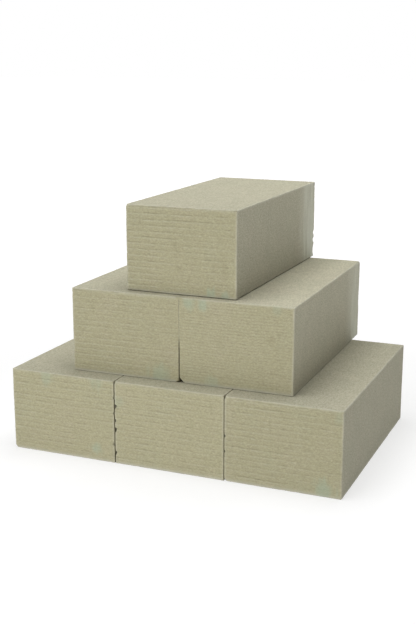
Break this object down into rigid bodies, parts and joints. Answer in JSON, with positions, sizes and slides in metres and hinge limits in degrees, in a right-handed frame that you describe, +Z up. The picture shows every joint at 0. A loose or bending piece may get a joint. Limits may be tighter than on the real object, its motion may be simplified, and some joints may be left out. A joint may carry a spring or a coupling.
{
  "type": "floral foam brick stack",
  "caption": "Stepped stack of loose rectangular dry floral foam bricks in three tiers, each set back on the one below; the bricks lift or draw off one by one.",
  "frame": {"origin": "centre of the bottom middle brick's underside, on the surface that the stack stands on", "axes": "+Z up; the bricks lie lengthways along Y with their near end faces looking to -Y; +X to the right across the row of bricks"},
  "size_m": [0.3312, 0.2597, 0.243],
  "materials": {
    "dry_foam": "matte"
  },
  "bodies": {
    "bottom_left": {"bottom_left_brick": "dry_foam"},
    "bottom_middle": {"bottom_middle_brick": "dry_foam"},
    "bottom_right": {"bottom_right_brick": "dry_foam"},
    "middle_left": {"middle_left_brick": "dry_foam"},
    "middle_right": {"middle_right_brick": "dry_foam"},
    "top": {"top_brick": "dry_foam"}
  },
  "joints": [
    {"name": "bottom_left_draw_out", "type": "slide", "parent": "bottom_middle", "child": "bottom_left", "axis": [-1, 0, 0], "range_m": [0, 0.12]},
    {"name": "bottom_right_draw_out", "type": "slide", "parent": "bottom_middle", "child": "bottom_right", "axis": [1, 0, 0], "range_m": [0, 0.12]},
    {"name": "middle_left_lift", "type": "slide", "parent": "bottom_middle", "child": "middle_left", "axis": [0, 0, 1], "range_m": [0, 0.12]},
    {"name": "middle_right_draw_out", "type": "slide", "parent": "middle_left", "child": "middle_right", "axis": [0.9999, 0.0105, 0], "range_m": [0, 0.1]},
    {"name": "top_lift", "type": "slide", "parent": "middle_left", "child": "top", "axis": [0, 0, 1], "range_m": [0, 0.12]}
  ]
}
